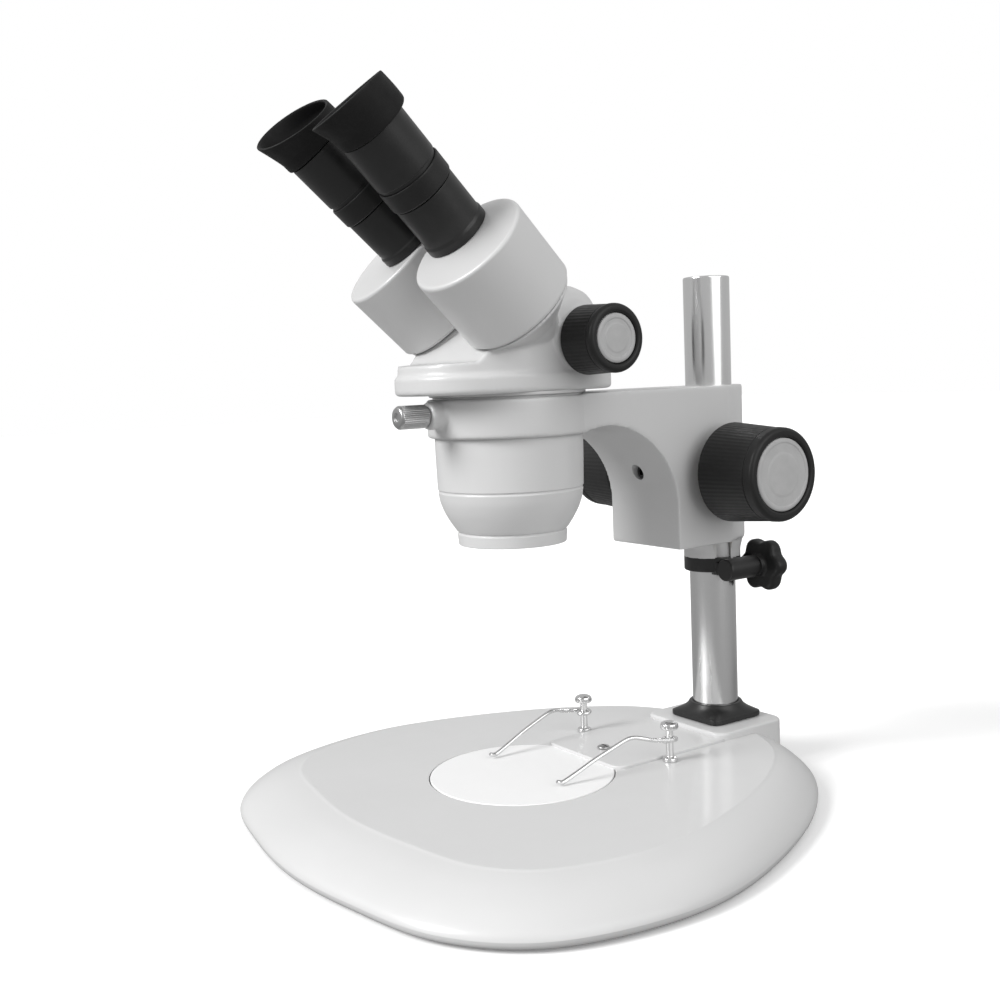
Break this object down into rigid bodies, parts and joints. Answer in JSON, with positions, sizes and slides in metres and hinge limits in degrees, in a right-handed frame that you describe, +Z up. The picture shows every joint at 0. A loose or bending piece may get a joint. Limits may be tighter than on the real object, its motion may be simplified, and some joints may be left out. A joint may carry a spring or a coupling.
{
  "type": "stereo microscope",
  "caption": "Stereo zoom microscope on a chromed pole stand with a flat pear-shaped base, stage plate and clips, rack focus and tilted binocular eyepieces.",
  "frame": {"origin": "centre of the bounding box's underside, on the bench under the base", "axes": "+Z up, along the pole; -Y towards the user, whose eyes are above the base's front edge; +X to the user's right"},
  "size_m": [0.2854, 0.289, 0.3501],
  "materials": {
    "base_paint": "satin",
    "head_paint": "satin",
    "arm_paint": "satin",
    "stage_white": "satin",
    "chrome": "polished",
    "steel": "satin",
    "brass": "satin",
    "black_metal": "satin",
    "black_plastic": "satin",
    "insert_grey": "satin",
    "rubber": "matte",
    "glass": "polished",
    "sheet_steel": "satin"
  },
  "bodies": {
    "root": {"base_casting": "base_paint", "base_underplate": "sheet_steel", "foot_front_left": "rubber", "foot_front_right": "rubber", "foot_rear_left": "rubber", "foot_rear_right": "rubber", "stage_plate": "stage_white", "plate_lock_screw": "steel", "pole_flange": "black_metal", "pole": "chrome", "pole_bolt": "steel"},
    "clip_left": {"clip_post_left": "chrome", "clip_wire_left": "chrome"},
    "clip_right": {"clip_post_right": "chrome", "clip_wire_right": "chrome"},
    "collar": {"height_collar": "black_metal"},
    "collar_screw": {"collar_stud": "steel", "collar_knob": "black_plastic"},
    "sleeve": {"pole_sleeve": "steel", "focus_rack": "brass"},
    "arm": {"arm_casting": "arm_paint", "arm_set_screw": "black_metal", "focus_bush_left": "brass", "focus_bush_right": "brass"},
    "ring_screw": {"ring_clamp_screw": "steel"},
    "focus_drive": {"focus_pinion_shaft": "steel", "focus_knob_left": "black_plastic", "focus_knob_right": "black_plastic", "focus_insert_left": "insert_grey", "focus_insert_right": "insert_grey"},
    "head": {"head_casting": "head_paint", "nosepiece": "head_paint", "objective_cell": "black_metal", "objective_lens_left": "glass", "objective_lens_right": "glass", "zoom_bush_left": "brass", "zoom_bush_right": "brass", "zoom_guide_rod": "chrome"},
    "zoom_drive": {"zoom_pinion_shaft": "steel", "zoom_knob_left": "black_plastic", "zoom_knob_right": "black_plastic", "zoom_insert_left": "insert_grey", "zoom_insert_right": "insert_grey"},
    "zoom_carriage": {"zoom_carriage": "black_metal", "zoom_lens_left": "glass", "zoom_lens_right": "glass"},
    "drum_left": {"prism_housing_left": "head_paint", "prism_left": "glass", "eyepiece_tube_left": "black_metal"},
    "diopter_left": {"diopter_ring_left": "black_plastic"},
    "eyepiece_left": {"eyepiece_barrel_left": "black_metal", "eye_lens_left": "glass", "eyecup_left": "rubber"},
    "drum_right": {"prism_housing_right": "head_paint", "prism_right": "glass", "eyepiece_tube_right": "black_metal"},
    "diopter_right": {"diopter_ring_right": "black_plastic"},
    "eyepiece_right": {"eyepiece_barrel_right": "black_metal", "eye_lens_right": "glass", "eyecup_right": "rubber"}
  },
  "joints": [
    {"name": "collar_height", "type": "slide", "parent": "root", "child": "collar", "axis": [0, 0, 1], "range_m": [-0.065, 0.05]},
    {"name": "collar_screw_turn", "type": "hinge", "parent": "collar", "child": "collar_screw", "pos_m": [0.0205, 0.1195, 0.1115], "axis": [0, 1, 0], "range_deg": [0, 270]},
    {"name": "arm_swivel", "type": "hinge", "parent": "collar", "child": "sleeve", "pos_m": [0, 0.1195, 0.1152], "axis": [0, 0, 1], "continuous": true},
    {"name": "focus", "type": "slide", "parent": "sleeve", "child": "arm", "axis": [0, 0, 1], "range_m": [0, 0.034]},
    {"name": "focus_knob_turn", "type": "hinge", "parent": "arm", "child": "focus_drive", "pos_m": [0, 0.101, 0.1662], "axis": [1, 0, 0], "range_deg": [-325, 0]},
    {"name": "ring_screw_turn", "type": "hinge", "parent": "arm", "child": "ring_screw", "pos_m": [0, -0.0623, 0.2035], "axis": [0, -1, 0], "range_deg": [0, 270]},
    {"name": "head_turn", "type": "hinge", "parent": "arm", "child": "head", "pos_m": [0, -0.0155, 0.211], "axis": [0, 0, 1], "continuous": true},
    {"name": "zoom", "type": "hinge", "parent": "head", "child": "zoom_drive", "pos_m": [0, 0.0029, 0.2359], "axis": [1, 0, 0], "range_deg": [-120, 120]},
    {"name": "zoom_carriage_travel", "type": "slide", "parent": "head", "child": "zoom_carriage", "axis": [0, 0, 1], "range_m": [-0.00795, 0.00795]},
    {"name": "eye_distance", "type": "hinge", "parent": "head", "child": "drum_right", "pos_m": [0.03008, -0.029, 0.25269], "axis": [0.0787, -0.7247, 0.6845], "range_deg": [-48, 0]},
    {"name": "eye_distance_left", "type": "hinge", "parent": "head", "child": "drum_left", "pos_m": [-0.03008, -0.029, 0.25269], "axis": [-0.0787, -0.7247, 0.6845], "range_deg": [0, 48]},
    {"name": "diopter_turn_left", "type": "hinge", "parent": "drum_left", "child": "diopter_left", "pos_m": [-0.02038, -0.05358, 0.28563], "axis": [-0.0787, -0.7247, 0.6845], "range_deg": [-120, 120]},
    {"name": "eyepiece_travel_left", "type": "slide", "parent": "drum_left", "child": "eyepiece_left", "axis": [-0.0787, -0.7247, 0.6845], "range_m": [-0.0015, 0.0015]},
    {"name": "diopter_turn_right", "type": "hinge", "parent": "drum_right", "child": "diopter_right", "pos_m": [0.02038, -0.05358, 0.28563], "axis": [0.0787, -0.7247, 0.6845], "range_deg": [-120, 120]},
    {"name": "eyepiece_travel_right", "type": "slide", "parent": "drum_right", "child": "eyepiece_right", "axis": [0.0787, -0.7247, 0.6845], "range_m": [-0.0015, 0.0015]},
    {"name": "clip_turn_right", "type": "hinge", "parent": "root", "child": "clip_right", "pos_m": [0.035, 0.0525, 0.022], "axis": [0, 0, 1], "range_deg": [-20, 100]},
    {"name": "clip_turn_left", "type": "hinge", "parent": "root", "child": "clip_left", "pos_m": [-0.035, 0.0525, 0.022], "axis": [0, 0, 1], "range_deg": [-100, 20]}
  ],
  "couplings": [
    {"joint": "focus_knob_turn", "follows": "focus", "rad_per_m": -166.67},
    {"joint": "zoom", "follows": "zoom_carriage_travel", "rad_per_m": -263.16},
    {"joint": "eye_distance_left", "follows": "eye_distance", "ratio": -1},
    {"joint": "diopter_turn_left", "follows": "eyepiece_travel_left", "rad_per_m": 1395},
    {"joint": "diopter_turn_right", "follows": "eyepiece_travel_right", "rad_per_m": 1395}
  ]
}
